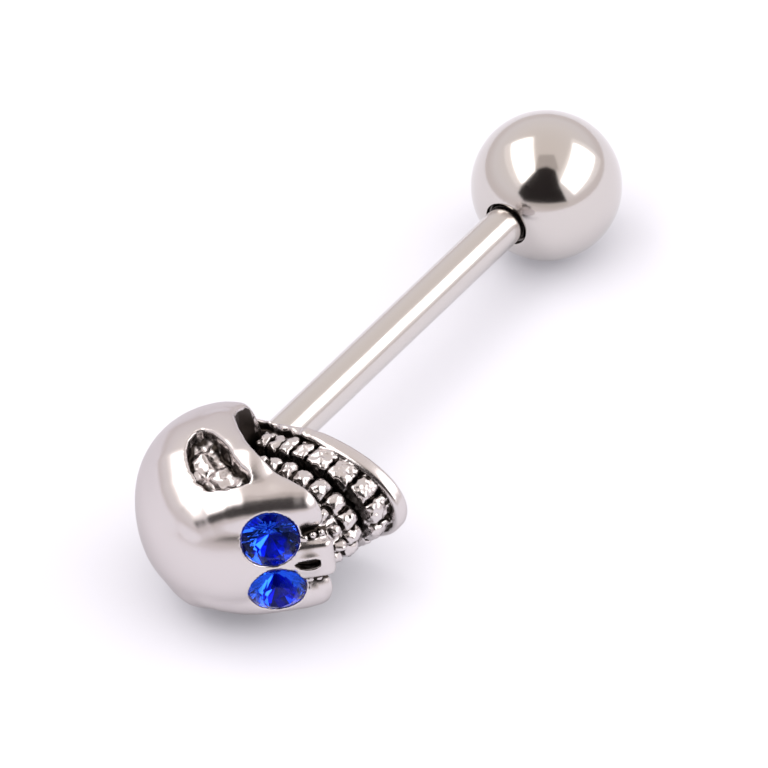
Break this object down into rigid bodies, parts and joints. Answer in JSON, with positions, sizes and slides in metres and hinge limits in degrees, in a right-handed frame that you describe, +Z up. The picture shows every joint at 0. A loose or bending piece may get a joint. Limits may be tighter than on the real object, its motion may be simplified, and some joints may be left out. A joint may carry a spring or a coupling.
{
  "type": "tongue barbell",
  "caption": "Straight tongue barbell: a steel bar with a screw-on ball at one end and a cast skull with faceted blue stones as eyes at the other.",
  "frame": {"origin": "middle of the bounding box's base, on the surface that the barbell lies on", "axes": "+X along the bar, from the skull to the ball; +Z up; the skull's face looks to -Y and -X"},
  "size_m": [0.0298, 0.01, 0.0077],
  "materials": {
    "plated_casting": "bright plated casting, polished, with blackened recesses",
    "satin_steel": "fine satin",
    "polished_steel": "mirror polish",
    "blue_crystal": "faceted, foil backed"
  },
  "bodies": {
    "skull_and_bar": {"skull": "plated_casting", "bar": "satin_steel", "stone_left": "blue_crystal", "stone_right": "blue_crystal"},
    "ball": {"ball": "polished_steel"}
  },
  "joints": [
    {"name": "ball_unscrews", "type": "slide", "parent": "skull_and_bar", "child": "ball", "axis": [0.9996, 0, -0.0293], "range_m": [0, 0.018]}
  ]
}
